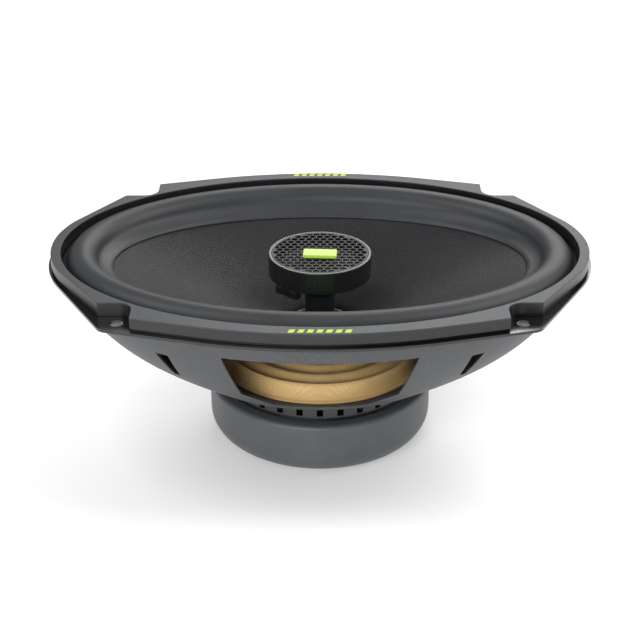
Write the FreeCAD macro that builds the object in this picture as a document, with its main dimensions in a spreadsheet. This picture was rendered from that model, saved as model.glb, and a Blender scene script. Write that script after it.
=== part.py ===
"""Coaxial car loudspeaker of the 6 x 9 inch class, drawn as its separate pieces.

Frame: millimetres, +Z out of the front of the speaker, +X along the long axis.  The origin is the
centre of the four mounting holes on the underside of the basket flange, which is the face that lies
on the car's panel, so everything below z = 0 goes into the panel and everything above stands proud.
"""
import FreeCAD, Part
import math
import os
import re

import Sketcher
from FreeCAD import Rotation, Vector

doc = FreeCAD.newDocument("coaxial_speaker")

# ---------------------------------------------------------------------------------------------
# Driving dimensions
# ---------------------------------------------------------------------------------------------
DIMENSIONS = {
    # basket flange: an envelope round two end circles, two side circles and four corner circles
    "flange_length": 235.0,
    "flange_width": 169.6,
    "flange_end_radius": 56.0,
    "flange_side_radius": 190.0,
    "corner_centre_x": 84.2,
    "corner_centre_y": 62.5,
    "corner_radius": 6.0,
    "bolt_spacing_x": 163.4,
    "bolt_spacing_y": 124.6,
    "bolt_hole_radius": 2.75,
    "sheet_gauge": 1.2,
    # basket dish: half axes of the wall's outside at four heights
    "dish_top_x": 111.2,
    "dish_top_y": 75.4,
    "dish_upper_x": 96.5,
    "dish_upper_y": 65.0,
    "dish_upper_z": -25.0,
    "dish_lower_x": 80.0,
    "dish_lower_y": 55.5,
    "dish_lower_z": -38.0,
    "dish_floor_x": 60.0,
    "dish_floor_y": 48.8,
    "shelf_z": -46.8,
    "cup_radius": 44.7,
    "cup_floor_z": -54.5,
    "window_top_z": -12.3,
    "window_side_z": -38.0,
    "window_bottom_z": -44.5,
    "window_top_half": 40.0,
    "window_side_half": 33.0,
    "window_bottom_half": 20.0,
    "slot_top_z": -17.5,
    "slot_bottom_z": -32.0,
    "slot_top_x": 62.4,
    "slot_bottom_x": 58.4,
    "slot_top_width": 5.4,
    "slot_bottom_width": 2.4,
    "vent_count": 32,
    "vent_half_width": 1.35,
    "vent_top_z": -48.6,
    "vent_bottom_z": -52.4,
    # trim ring
    "trim_top_z": 7.5,
    "trim_skirt_z": 2.6,
    "trim_inset": 1.2,
    "trim_foot_inset": 2.2,
    "trim_opening_x": 112.0,
    "trim_opening_y": 77.5,
    "trim_well_radius": 6.2,
    "trim_tip_x": 90.0,
    "trim_tip_y": 56.1,
    "trim_relief_x": 110.0,
    "trim_relief_y": 25.6,
    "trim_notch_depth": 1.4,
    "trim_notch_half": 1.6,
    # surround, cone, coil and spider
    "roll_path_x": 102.9,
    "roll_path_y": 67.1,
    "roll_radius": 6.9,
    "roll_wall": 0.9,
    "roll_outer_lip": 8.9,
    "roll_inner_lip": 10.4,
    "cone_rim_x": 96.0,
    "cone_rim_y": 60.2,
    "cone_rim_z": 1.05,
    "cone_neck_z": -31.5,
    "cone_wall": 1.0,
    "former_radius": 14.7,
    "former_wall": 0.5,
    "former_top_z": -29.9,
    "coil_wall": 0.9,
    "coil_top_z": -50.0,
    "coil_bottom_z": -64.0,
    "spider_seat_radius": 46.6,
    "spider_cup_radius": 43.0,
    "spider_mean_z": -38.6,
    "spider_wave": 1.3,
    "spider_wave_pitch": 8.5,
    "spider_wall": 0.7,
    "spider_collar_z": -36.6,
    # motor
    "top_plate_radius": 42.5,
    "top_plate_bore": 16.4,
    "top_plate_z": -59.5,
    "magnet_radius": 45.0,
    "magnet_bore": 20.0,
    "magnet_z": -72.0,
    "back_plate_radius": 43.0,
    "back_plate_z": -77.0,
    "pole_radius": 13.6,
    "pole_top_z": -54.0,
    "pole_bore": 4.2,
    "nut_pocket_radius": 8.2,
    "boot_radius": 49.3,
    "boot_top_z": -55.0,
    "boot_bottom_z": -80.5,
    "boot_bottom_round": 11.0,
    "boot_shoulder_round": 2.0,
    "boot_channel_half": 1.9,
    "boot_channel_depth": 1.7,
    "rivet_count": 6,
    "rivet_circle": 35.0,
    "rivet_radius": 2.5,
    "rivet_head_radius": 4.0,
    "rivet_head": 1.4,
    # terminals on the +Y side
    "tab_half": 17.0,
    "tab_y": 47.2,
    "tab_top_z": -38.0,
    "board_half": 18.0,
    "board_wall": 1.6,
    "board_top_z": -20.0,
    "board_bottom_z": -44.2,
    "board_rivet_x": 14.5,
    "board_rivet_z": -41.4,
    "board_rivet_radius": 1.6,
    "board_rivet_head_radius": 2.6,
    "board_rivet_head": 0.6,
    "blade_z": -28.0,
    "blade_x": 9.0,
    "blade_reach": 9.0,
    "blade_gauge": 0.8,
    "blade_foot": 5.0,
    "positive_blade_half": 3.15,
    "negative_blade_half": 2.4,
    "capacitor_radius": 4.5,
    "capacitor_half": 10.0,
    "capacitor_z": -39.5,
    # tweeter
    "tweeter_radius": 22.4,
    "tweeter_rim_z": 4.0,
    "tweeter_floor_z": -5.8,
    "tweeter_wall": 1.5,
    "tweeter_ledge_z": -1.6,
    "tweeter_motor_radius": 14.8,
    "tweeter_lower_radius": 16.6,
    "tweeter_base_z": -8.3,
    "tweeter_stem_z": -10.5,
    "lug_height": 3.4,
    "grille_gauge": 0.7,
    "grille_pitch": 3.2,
    "grille_web": 0.5,
    "grille_border": 0.7,
    "badge_half_x": 7.3,
    "badge_half_y": 3.3,
    "badge_offset": -2.75,
    "badge_top_z": 5.4,
    "dome_radius": 12.5,
    "dome_base_z": -0.4,
    "dome_rise": 2.5,
    "dome_wall": 0.25,
    "post_radius": 6.5,
    "post_rod_radius": 4.0,
    "post_bore": 2.5,
    "nut_across_corners": 15.0,
    "nut_height": 4.0,
    # leads
    "lead_radius": 0.8,
    "tweeter_lead_radius": 0.6,
}

sheet = doc.addObject("Spreadsheet::Sheet", "dims")
for row, (alias, number) in enumerate(DIMENSIONS.items(), start=1):
    sheet.set("A%d" % row, alias)
    sheet.set("B%d" % row, str(number))
    sheet.setAlias("B%d" % row, alias)
doc.recompute()

WORD = re.compile(r"[a-z][a-z_]*")


def formula(text):
    """An expression on the sheet, from one written with the bare names of its cells."""
    return WORD.sub(lambda word: "dims." + word.group(0), str(text))


def size(text):
    """The number that such an expression gives now."""
    return float(sheet.evalExpression(formula(text)))


# ---------------------------------------------------------------------------------------------
# Small drawing vocabulary
# ---------------------------------------------------------------------------------------------
def new_body(name):
    body = doc.addObject("PartDesign::Body", name)
    body.Label = name
    return body


def new_sketch(body, name, role="XY_Plane", lift="0"):
    """A sketch on one of the body's own origin planes, moved along the plane's normal."""
    sketch = body.newObject("Sketcher::SketchObject", name)
    plane = [item for item in body.Origin.OriginFeatures if item.Role == role][0]
    sketch.AttachmentSupport = (plane, [""])
    sketch.MapMode = "FlatFace"
    sketch.setExpression("AttachmentOffset.Base.z", formula(lift))
    return sketch


def bind(sketch, kind, *places_and_size):
    """One driving constraint whose value comes from the sheet."""
    places = places_and_size[:-1]
    text = places_and_size[-1]
    index = sketch.addConstraint(Sketcher.Constraint(kind, *places, size(text)))
    sketch.setExpression("Constraints[%d]" % index, formula(text))


def draw_polygon(sketch, points):
    """A closed outline of straight sides, with both coordinates of each corner on the sheet."""
    corners = [Vector(size(x), size(y), 0) for x, y in points]
    first = len(sketch.Geometry)
    count = len(corners)
    for place in range(count):
        side = Part.LineSegment(corners[place], corners[(place + 1) % count])
        sketch.addGeometry(side, False)
    for place, (x, y) in enumerate(points):
        follower = first + (place + 1) % count
        sketch.addConstraint(Sketcher.Constraint("Coincident", first + place, 2, follower, 1))
        bind(sketch, "DistanceX", -1, 1, first + place, 1, x)
        bind(sketch, "DistanceY", -1, 1, first + place, 1, y)


def draw_circle(sketch, x, y, radius):
    index = sketch.addGeometry(Part.Circle(Vector(size(x), size(y), 0), Vector(0, 0, 1), size(radius)))
    bind(sketch, "DistanceX", -1, 1, index, 3, x)
    bind(sketch, "DistanceY", -1, 1, index, 3, y)
    bind(sketch, "Radius", index, radius)


def draw_ellipse(sketch, half_x, half_y):
    """An ellipse on the origin, long axis along the sketch's first axis."""
    index = sketch.addGeometry(Part.Ellipse(Vector(0, 0, 0), size(half_x), size(half_y)), False)
    sketch.exposeInternalGeometry(index)
    sketch.addConstraint(Sketcher.Constraint("Coincident", index, 3, -1, 1))
    sketch.addConstraint(Sketcher.Constraint("Horizontal", index + 1))
    bind(sketch, "Distance", index + 1, "2 * (%s)" % half_x)
    bind(sketch, "Distance", index + 2, "2 * (%s)" % half_y)


def check_changed(body, before, grows):
    """A feature that points the wrong way changes nothing, so the volume is compared."""
    doc.recompute()
    after = body.Shape.Volume
    if (after > before) != grows or abs(after - before) < 1e-6:
        raise RuntimeError("%s: a feature went the wrong way" % body.Label)


def pad(body, sketch, length, symmetric=False, downwards=False):
    feature = body.newObject("PartDesign::Pad", sketch.Name + "_pad")
    feature.Profile = sketch
    feature.setExpression("Length", formula(length))
    feature.SideType = "Symmetric" if symmetric else "One side"
    feature.Reversed = downwards
    doc.recompute()
    return feature


def pocket(body, sketch, length, symmetric=False, upwards=False):
    """Cut the sketch away, against the sketch's normal unless told otherwise."""
    before = body.Shape.Volume
    feature = body.newObject("PartDesign::Pocket", sketch.Name + "_pocket")
    feature.Profile = sketch
    feature.setExpression("Length", formula(length))
    feature.SideType = "Symmetric" if symmetric else "One side"
    feature.Reversed = upwards
    check_changed(body, before, grows=False)
    return feature


def turn_profile(body, name, points):
    """Revolve a closed profile of (radius, height) points about Z."""
    sketch = new_sketch(body, name, "XZ_Plane")
    draw_polygon(sketch, points)
    feature = body.newObject("PartDesign::Revolution", name + "_turned")
    feature.Profile = sketch
    feature.ReferenceAxis = (sketch, ["V_Axis"])
    feature.Angle = 360.0
    doc.recompute()
    return feature


def turned(name, points):
    """A piece made on a lathe, or pressed or moulded round: one profile spun about Z."""
    body = new_body(name)
    turn_profile(body, name + "_profile", points)
    return body


def loft(body, kind, name, sections):
    """Join ellipses at different heights, given as (half x, half y, height)."""
    sketches = []
    for place, (half_x, half_y, height) in enumerate(sections):
        sketch = new_sketch(body, "%s_%d" % (name, place), lift=height)
        if half_x == half_y:
            draw_circle(sketch, "0", "0", half_x)
        else:
            draw_ellipse(sketch, half_x, half_y)
        sketches.append(sketch)
    feature = body.newObject(kind, name)
    feature.Profile = sketches[0]
    feature.Sections = sketches[1:]
    doc.recompute()
    return feature


def round_edges(body, radius, wanted):
    """Fillet the edges of the body's present shape that the test picks out."""
    tip = body.Tip
    names = ["Edge%d" % (place + 1) for place, edge in enumerate(tip.Shape.Edges) if wanted(edge)]
    feature = body.newObject("PartDesign::Fillet", body.Name + "_round_%d" % len(body.Group))
    feature.Base = (tip, names)
    feature.setExpression("Radius", formula(radius))
    doc.recompute()
    return feature


def circle_at(radius, height):
    """A test for the whole circular edge of this radius at this height."""
    def wanted(edge):
        if not isinstance(edge.Curve, Part.Circle):
            return False
        same_radius = abs(edge.Curve.Radius - size(radius)) < 1e-3
        return same_radius and abs(edge.Curve.Center.z - size(height)) < 1e-3
    return wanted


def repeat_round(body, feature, count):
    """Repeat a feature evenly about Z."""
    before = body.Shape.Volume
    pattern = body.newObject("PartDesign::PolarPattern", feature.Name + "_ring")
    pattern.Originals = [feature]
    axis = [item for item in body.Origin.OriginFeatures if item.Role == "Z_Axis"][0]
    pattern.Axis = (axis, [""])
    pattern.Angle = 360.0
    pattern.setExpression("Occurrences", formula(count))
    body.Tip = pattern
    check_changed(body, before, grows=False)
    return pattern


def plain_feature(name, shape):
    """A piece whose shape is worked out here, standing at the origin."""
    feature = doc.addObject("Part::Feature", name)
    feature.Label = name
    feature.Shape = shape
    feature.Placement = FreeCAD.Placement(Vector(0, 0, 0), Rotation())
    return feature


def tube_along(points, radius):
    """A round wire through a list of corners, each turned with as large an arc as its runs allow."""
    edges = []
    start = points[0]
    for place in range(1, len(points) - 1):
        before = points[place - 1] - points[place]
        after = points[place + 1] - points[place]
        turn = math.pi - before.getAngle(after)
        setback = 0.45 * min(before.Length, after.Length)
        bend = setback / math.tan(turn / 2)
        print("  bend radius %.1f mm" % bend)
        entry = points[place] + before.normalize() * setback
        leave = points[place] + after.normalize() * setback
        inward = (before + after).normalize()
        middle = points[place] + inward * (bend / math.cos(turn / 2) - bend)
        edges.append(Part.LineSegment(start, entry).toShape())
        edges.append(Part.Arc(entry, middle, leave).toShape())
        start = leave
    edges.append(Part.LineSegment(start, points[-1]).toShape())
    path = Part.Wire(edges)
    direction = points[1] - points[0]
    ring = Part.Wire([Part.makeCircle(radius, points[0], direction)])
    solid = path.makePipeShell([ring], True, False)
    expected = math.pi * radius ** 2 * path.Length
    if abs(solid.Volume - expected) > 0.03 * expected:
        raise RuntimeError("a lead's volume is not its section times its length")
    return solid


# ---------------------------------------------------------------------------------------------
# Flange outline, shared by the basket and the trim ring
# ---------------------------------------------------------------------------------------------
def outline_circles(inset):
    """The eight circles the outline is wrapped round, anticlockwise from the +X end.

    Each is (centre x, centre y, radius), written as expressions on the sheet.
    """
    end_x = "(flange_length / 2 - flange_end_radius)"
    side_y = "(flange_width / 2 - flange_side_radius)"
    end_radius = "flange_end_radius - " + inset
    side_radius = "flange_side_radius - " + inset
    corner_radius = "corner_radius - " + inset
    return [
        (end_x, "0", end_radius),
        ("corner_centre_x", "corner_centre_y", corner_radius),
        ("0", side_y, side_radius),
        ("-corner_centre_x", "corner_centre_y", corner_radius),
        ("-" + end_x, "0", end_radius),
        ("-corner_centre_x", "-corner_centre_y", corner_radius),
        ("0", "-" + side_y, side_radius),
        ("corner_centre_x", "-corner_centre_y", corner_radius),
    ]


def outer_tangent(first, second):
    """The angle of the common outer tangent's normal, both circles lying on its inner side."""
    gap_x = second[0] - first[0]
    gap_y = second[1] - first[1]
    lean = math.acos((first[2] - second[2]) / math.hypot(gap_x, gap_y))
    return math.atan2(gap_y, gap_x) - lean


def draw_outline(sketch, inset):
    """The flange outline: eight arcs joined by eight straight tangent sides."""
    texts = outline_circles(inset)
    circles = [tuple(size(text) for text in circle) for circle in texts]
    count = len(circles)
    normals = [outer_tangent(circles[i], circles[(i + 1) % count]) for i in range(count)]
    arcs = []
    for place, (x, y, radius) in enumerate(circles):
        start = normals[place - 1]
        stop = normals[place]
        while stop < start:
            stop += 2 * math.pi
        circle = Part.Circle(Vector(x, y, 0), Vector(0, 0, 1), radius)
        arcs.append(sketch.addGeometry(Part.ArcOfCircle(circle, start, stop), False))
    for place in range(count):
        following = (place + 1) % count
        angle = normals[place]
        out = Vector(math.cos(angle), math.sin(angle), 0)
        begin = Vector(*circles[place][:2], 0) + out * circles[place][2]
        finish = Vector(*circles[following][:2], 0) + out * circles[following][2]
        side = sketch.addGeometry(Part.LineSegment(begin, finish), False)
        sketch.addConstraint(Sketcher.Constraint("Tangent", arcs[place], 2, side, 1))
        sketch.addConstraint(Sketcher.Constraint("Tangent", side, 2, arcs[following], 1))
    for arc, (x, y, radius) in zip(arcs, texts):
        bind(sketch, "DistanceX", -1, 1, arc, 3, x)
        bind(sketch, "DistanceY", -1, 1, arc, 3, y)
        bind(sketch, "Radius", arc, radius)


def four_corners(x, y):
    """The four signed copies of a point in the first quadrant."""
    return [(x, y), ("-(%s)" % x, y), ("-(%s)" % x, "-(%s)" % y), (x, "-(%s)" % y)]


# ---------------------------------------------------------------------------------------------
# Frame: basket and trim ring
# ---------------------------------------------------------------------------------------------
def make_basket():
    """Pressed steel basket: flange, pierced dish, spider shelf and the vented cup of the motor."""
    body = new_body("basket")
    flange = new_sketch(body, "flange_outline")
    draw_outline(flange, "0")
    pad(body, flange, "sheet_gauge")
    loft(body, "PartDesign::AdditiveLoft", "dish_outside", [
        ("dish_top_x", "dish_top_y", "0"),
        ("dish_upper_x", "dish_upper_y", "dish_upper_z"),
        ("dish_lower_x", "dish_lower_y", "dish_lower_z"),
        ("dish_floor_x", "dish_floor_y", "shelf_z"),
    ])
    loft(body, "PartDesign::SubtractiveLoft", "dish_inside", [
        ("dish_top_x - sheet_gauge", "dish_top_y - sheet_gauge", "0"),
        ("dish_upper_x - sheet_gauge * 1.3", "dish_upper_y - sheet_gauge * 1.3", "dish_upper_z"),
        ("dish_lower_x - sheet_gauge * 1.6", "dish_lower_y - sheet_gauge * 1.3", "dish_lower_z"),
        ("dish_floor_x - sheet_gauge * 2.6", "dish_floor_y - sheet_gauge", "shelf_z + sheet_gauge"),
    ])
    mouth = new_sketch(body, "flange_opening", lift="sheet_gauge")
    draw_ellipse(mouth, "dish_top_x - sheet_gauge", "dish_top_y - sheet_gauge")
    pocket(body, mouth, "sheet_gauge")
    seat = new_sketch(body, "spider_seat", lift="shelf_z + 2 * sheet_gauge")
    draw_circle(seat, "0", "0", "cup_radius - sheet_gauge")
    pocket(body, seat, "3 * sheet_gauge")
    turn_profile(body, "motor_cup", [
        ("cup_radius", "shelf_z + sheet_gauge / 2"),
        ("cup_radius", "cup_floor_z"),
        ("top_plate_bore", "cup_floor_z"),
        ("top_plate_bore", "cup_floor_z + sheet_gauge"),
        ("cup_radius - sheet_gauge", "cup_floor_z + sheet_gauge"),
        ("cup_radius - sheet_gauge", "shelf_z + sheet_gauge / 2"),
    ])
    windows = new_sketch(body, "side_windows", "XZ_Plane")
    draw_polygon(windows, [
        ("-window_top_half", "window_top_z"),
        ("window_top_half", "window_top_z"),
        ("window_side_half", "window_side_z"),
        ("window_bottom_half", "window_bottom_z"),
        ("-window_bottom_half", "window_bottom_z"),
        ("-window_side_half", "window_side_z"),
    ])
    pocket(body, windows, "flange_width", symmetric=True)
    slots = new_sketch(body, "corner_slots", "XZ_Plane")
    for way in ("", "-"):
        draw_polygon(slots, [
            (way + "slot_top_x", "slot_top_z"),
            (way + "(slot_top_x + slot_top_width)", "slot_top_z"),
            (way + "(slot_bottom_x + slot_bottom_width)", "slot_bottom_z"),
            (way + "slot_bottom_x", "slot_bottom_z"),
        ])
    pocket(body, slots, "flange_width", symmetric=True)
    holes = new_sketch(body, "mounting_holes", lift="2 * sheet_gauge")
    for x, y in four_corners("bolt_spacing_x / 2", "bolt_spacing_y / 2"):
        draw_circle(holes, x, y, "bolt_hole_radius")
    pocket(body, holes, "4 * sheet_gauge")
    tab = new_sketch(body, "terminal_tab", lift="shelf_z")
    draw_polygon(tab, [
        ("-tab_half", "tab_y"),
        ("tab_half", "tab_y"),
        ("tab_half", "tab_y + sheet_gauge"),
        ("-tab_half", "tab_y + sheet_gauge"),
    ])
    pad(body, tab, "tab_top_z - shelf_z")
    tab_holes = new_sketch(body, "terminal_tab_holes", "XZ_Plane", lift="-(tab_y - sheet_gauge)")
    for way in ("", "-"):
        draw_circle(tab_holes, way + "board_rivet_x", "board_rivet_z", "board_rivet_radius")
    pocket(body, tab_holes, "4 * sheet_gauge")
    rivet_hole = new_sketch(body, "motor_rivet_hole", lift="cup_floor_z + 2 * sheet_gauge")
    draw_circle(rivet_hole, "rivet_circle", "0", "rivet_radius")
    repeat_round(body, pocket(body, rivet_hole, "3 * sheet_gauge"), "rivet_count")
    vent = new_sketch(body, "cup_vent", "XZ_Plane", lift="cup_radius - 4 * sheet_gauge")
    draw_polygon(vent, [
        ("-vent_half_width", "vent_bottom_z"),
        ("vent_half_width", "vent_bottom_z"),
        ("vent_half_width", "vent_top_z"),
        ("-vent_half_width", "vent_top_z"),
    ])
    repeat_round(body, pocket(body, vent, "6 * sheet_gauge", upwards=True), "vent_count")
    return body


def make_trim_ring():
    """Moulded ring on top of the flange, cut away round each mounting hole and in from each end."""
    body = new_body("trim_ring")
    foot = new_sketch(body, "foot_outline", lift="sheet_gauge")
    draw_outline(foot, "trim_foot_inset")
    pad(body, foot, "trim_skirt_z - sheet_gauge")
    skirt = new_sketch(body, "skirt_outline", lift="trim_skirt_z")
    draw_outline(skirt, "trim_inset")
    pad(body, skirt, "trim_top_z - trim_skirt_z")
    opening = new_sketch(body, "ring_opening", lift="trim_top_z + 1")
    draw_ellipse(opening, "trim_opening_x", "trim_opening_y")
    pocket(body, opening, "trim_top_z + 1")
    hole_x = "bolt_spacing_x / 2"
    hole_y = "bolt_spacing_y / 2"
    wells = new_sketch(body, "screw_wells", lift="trim_top_z + 1")
    for x, y in four_corners(hole_x, hole_y):
        draw_circle(wells, x, y, "trim_well_radius")
    pocket(body, wells, "trim_top_z + 1")
    mouths = new_sketch(body, "well_mouths", lift="trim_top_z + 1")
    mouth_corners = [
        (hole_x + " - trim_well_radius", hole_y),
        (hole_x, hole_y + " - trim_well_radius"),
        ("trim_tip_x", "trim_tip_y"),
        ("trim_relief_x", "trim_relief_y"),
        ("flange_length / 2", "trim_relief_y"),
        ("flange_length / 2", "flange_width / 2"),
        (hole_x + " - trim_well_radius", "flange_width / 2"),
    ]
    for way_x in ("", "-"):
        for way_y in ("", "-"):
            draw_polygon(mouths, [
                ("%s(%s)" % (way_x, x), "%s(%s)" % (way_y, y)) for x, y in mouth_corners
            ])
    pocket(body, mouths, "trim_top_z + 1")
    notches = new_sketch(body, "end_notches", lift="trim_top_z + 1")
    for way in ("", "-"):
        draw_polygon(notches, [
            (way + "(flange_length / 2)", "-trim_notch_half"),
            (way + "(flange_length / 2)", "trim_notch_half"),
            (way + "(flange_length / 2 - trim_inset - trim_notch_depth)", "0"),
        ])
    pocket(body, notches, "trim_top_z + 1")
    return body


# ---------------------------------------------------------------------------------------------
# Moving assembly and its two suspensions
# ---------------------------------------------------------------------------------------------
def make_surround():
    """Rubber half roll between the cone's rim and the flange, with a flat lip on each side."""
    body = new_body("surround")
    path = new_sketch(body, "roll_path", lift="sheet_gauge")
    draw_ellipse(path, "roll_path_x", "roll_path_y")
    section = new_sketch(body, "roll_section", "XZ_Plane")
    base = size("sheet_gauge")
    centre = Vector(size("roll_path_x"), base, 0)
    outer = size("roll_radius")
    inner = size("roll_radius - roll_wall")
    wall = size("roll_wall")
    outer_lip = size("roll_outer_lip")
    inner_lip = size("roll_inner_lip")
    shoulder = math.sqrt(outer ** 2 - wall ** 2)
    corners = [
        centre + Vector(-inner_lip, 0, 0),
        centre + Vector(-inner, 0, 0),
        centre + Vector(inner, 0, 0),
        centre + Vector(outer_lip, 0, 0),
        centre + Vector(outer_lip, wall, 0),
        centre + Vector(shoulder, wall, 0),
        centre + Vector(-shoulder, wall, 0),
        centre + Vector(-inner_lip, wall, 0),
    ]
    sketch_parts = [
        Part.LineSegment(corners[0], corners[1]),
        Part.Arc(corners[1], centre + Vector(0, inner, 0), corners[2]),
        Part.LineSegment(corners[2], corners[3]),
        Part.LineSegment(corners[3], corners[4]),
        Part.LineSegment(corners[4], corners[5]),
        Part.Arc(corners[5], centre + Vector(0, outer, 0), corners[6]),
        Part.LineSegment(corners[6], corners[7]),
        Part.LineSegment(corners[7], corners[0]),
    ]
    section.addGeometry(sketch_parts, False)
    feature = body.newObject("PartDesign::AdditivePipe", "half_roll")
    feature.Profile = section
    feature.Spine = path
    doc.recompute()
    return body


def make_cone():
    """Woven cone, elliptical at the rim and round at the neck."""
    body = new_body("cone")
    loft(body, "PartDesign::AdditiveLoft", "cone_back", [
        ("cone_rim_x", "cone_rim_y", "cone_rim_z"),
        ("former_radius + cone_wall + 0.1", "former_radius + cone_wall + 0.1", "cone_neck_z"),
    ])
    loft(body, "PartDesign::SubtractiveLoft", "cone_front", [
        ("cone_rim_x - 2.2 * cone_wall", "cone_rim_y - 1.4 * cone_wall", "cone_rim_z"),
        ("former_radius", "former_radius", "cone_neck_z + cone_wall"),
    ])
    bore = new_sketch(body, "cone_neck", lift="cone_neck_z + 2 * cone_wall")
    draw_circle(bore, "0", "0", "former_radius")
    pocket(body, bore, "4 * cone_wall")
    return body


def make_former():
    """Thin tube that carries the winding and holds cone and spider together."""
    return turned("voice_coil_former", [
        ("former_radius - former_wall", "coil_bottom_z"),
        ("former_radius", "coil_bottom_z"),
        ("former_radius", "former_top_z"),
        ("former_radius - former_wall", "former_top_z"),
    ])


def make_voice_coil():
    """Copper winding on the lower end of the former."""
    return turned("voice_coil", [
        ("former_radius", "coil_bottom_z"),
        ("former_radius + coil_wall", "coil_bottom_z"),
        ("former_radius + coil_wall", "coil_top_z"),
        ("former_radius", "coil_top_z"),
    ])


def make_spider():
    """Cupped cloth spider: glued foot, plain cup wall, three waves and a collar on the former."""
    foot_top = "shelf_z + sheet_gauge + spider_wall"
    foot_under = "shelf_z + sheet_gauge"
    upper = [("spider_seat_radius", foot_top), ("spider_cup_radius + 1.6", foot_top)]
    lower = [("spider_seat_radius", foot_under), ("spider_cup_radius + 0.9", foot_under)]
    for turn in range(7):
        sign = "+" if turn % 2 == 0 else "-"
        radius = "spider_cup_radius - %d * spider_wave_pitch / 2" % turn
        height = "spider_mean_z %s spider_wave" % sign
        upper.append((radius, height))
        lower.append((radius, height + " - spider_wall"))
    collar = "former_radius + 0.2"
    upper.append((collar, "spider_collar_z"))
    lower.append((collar, "spider_collar_z - 2 * spider_wall"))
    return turned("spider", upper + lower[::-1])


# ---------------------------------------------------------------------------------------------
# Motor
# ---------------------------------------------------------------------------------------------
def make_top_plate():
    """Steel washer that the basket is riveted to, drilled for the rivets."""
    body = turned("top_plate", [
        ("top_plate_bore", "top_plate_z"),
        ("top_plate_radius", "top_plate_z"),
        ("top_plate_radius", "cup_floor_z"),
        ("top_plate_bore", "cup_floor_z"),
    ])
    hole = new_sketch(body, "rivet_hole", lift="cup_floor_z + 1")
    draw_circle(hole, "rivet_circle", "0", "rivet_radius")
    repeat_round(body, pocket(body, hole, "cup_floor_z - top_plate_z + 2"), "rivet_count")
    return body


def make_ferrite_magnet():
    """Ferrite ring with ground faces and chamfered rims."""
    return turned("ferrite_magnet", [
        ("magnet_bore", "magnet_z"),
        ("magnet_radius - 1", "magnet_z"),
        ("magnet_radius", "magnet_z + 1"),
        ("magnet_radius", "top_plate_z - 1"),
        ("magnet_radius - 1", "top_plate_z"),
        ("magnet_bore", "top_plate_z"),
    ])


def make_yoke():
    """Forged back plate and pole in one piece, bored for the tweeter's post and its nut."""
    return turned("yoke", [
        ("nut_pocket_radius", "back_plate_z"),
        ("back_plate_radius - 1", "back_plate_z"),
        ("back_plate_radius", "back_plate_z + 1"),
        ("back_plate_radius", "magnet_z"),
        ("pole_radius", "magnet_z"),
        ("pole_radius", "pole_top_z"),
        ("pole_bore", "pole_top_z"),
        ("pole_bore", "magnet_z"),
        ("nut_pocket_radius", "magnet_z"),
    ])


def make_magnet_boot():
    """Rubber cover pushed over the motor, with a channel inside it for the tweeter's leads."""
    body = turned("magnet_boot", [
        ("0", "boot_bottom_z"),
        ("boot_radius", "boot_bottom_z"),
        ("boot_radius", "boot_top_z"),
        ("top_plate_radius + 0.3", "boot_top_z"),
        ("top_plate_radius + 0.3", "top_plate_z + 0.3"),
        ("magnet_radius + 0.1", "top_plate_z + 0.3"),
        ("magnet_radius + 0.1", "back_plate_z - 0.1"),
        ("0", "back_plate_z - 0.1"),
    ])
    round_edges(body, "boot_bottom_round", circle_at("boot_radius", "boot_bottom_z"))
    round_edges(body, "boot_shoulder_round", circle_at("boot_radius", "boot_top_z"))
    channel = new_sketch(body, "lead_channel", "YZ_Plane")
    draw_polygon(channel, [
        ("-2 * boot_channel_half", "back_plate_z"),
        ("-2 * boot_channel_half", "back_plate_z - boot_channel_depth"),
        ("back_plate_radius + 0.3", "back_plate_z - boot_channel_depth"),
        ("magnet_radius + boot_channel_depth + 0.1", "magnet_z - 3"),
        ("magnet_radius + boot_channel_depth + 0.1", "boot_top_z + 1"),
        ("top_plate_radius", "boot_top_z + 1"),
        ("top_plate_radius", "back_plate_z"),
    ])
    pocket(body, channel, "2 * boot_channel_half", symmetric=True)
    return body


def make_basket_rivets():
    """Six rivets that close the basket's floor onto the top plate."""
    solids = []
    count = int(size("rivet_count"))
    for place in range(count):
        angle = place * 2 * math.pi / count
        radius = size("rivet_circle")
        foot = Vector(radius * math.cos(angle), radius * math.sin(angle), size("top_plate_z"))
        floor = size("cup_floor_z + sheet_gauge")
        shank = Part.makeCylinder(size("rivet_radius"), floor - foot.z, foot)
        seat = Vector(foot.x, foot.y, floor)
        head = Part.makeCylinder(size("rivet_head_radius"), size("rivet_head"), seat)
        solids.append(shank.fuse(head).removeSplitter())
    return plain_feature("basket_rivets", Part.makeCompound(solids))


# ---------------------------------------------------------------------------------------------
# Terminals, capacitor and leads
# ---------------------------------------------------------------------------------------------
def make_terminal_board():
    """Fibre board standing on the basket's tab, punched for its two rivets."""
    body = new_body("terminal_board")
    outline = new_sketch(body, "board_outline", "XZ_Plane", lift="-(tab_y + sheet_gauge)")
    draw_polygon(outline, [
        ("-board_half", "board_bottom_z"),
        ("board_half", "board_bottom_z"),
        ("board_half", "board_top_z"),
        ("-board_half", "board_top_z"),
    ])
    pad(body, outline, "board_wall", downwards=True)
    holes = new_sketch(body, "board_holes", "XZ_Plane", lift="-(tab_y - 1)")
    for way in ("", "-"):
        draw_circle(holes, way + "board_rivet_x", "board_rivet_z", "board_rivet_radius")
    pocket(body, holes, "board_wall + 4")
    return body


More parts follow.
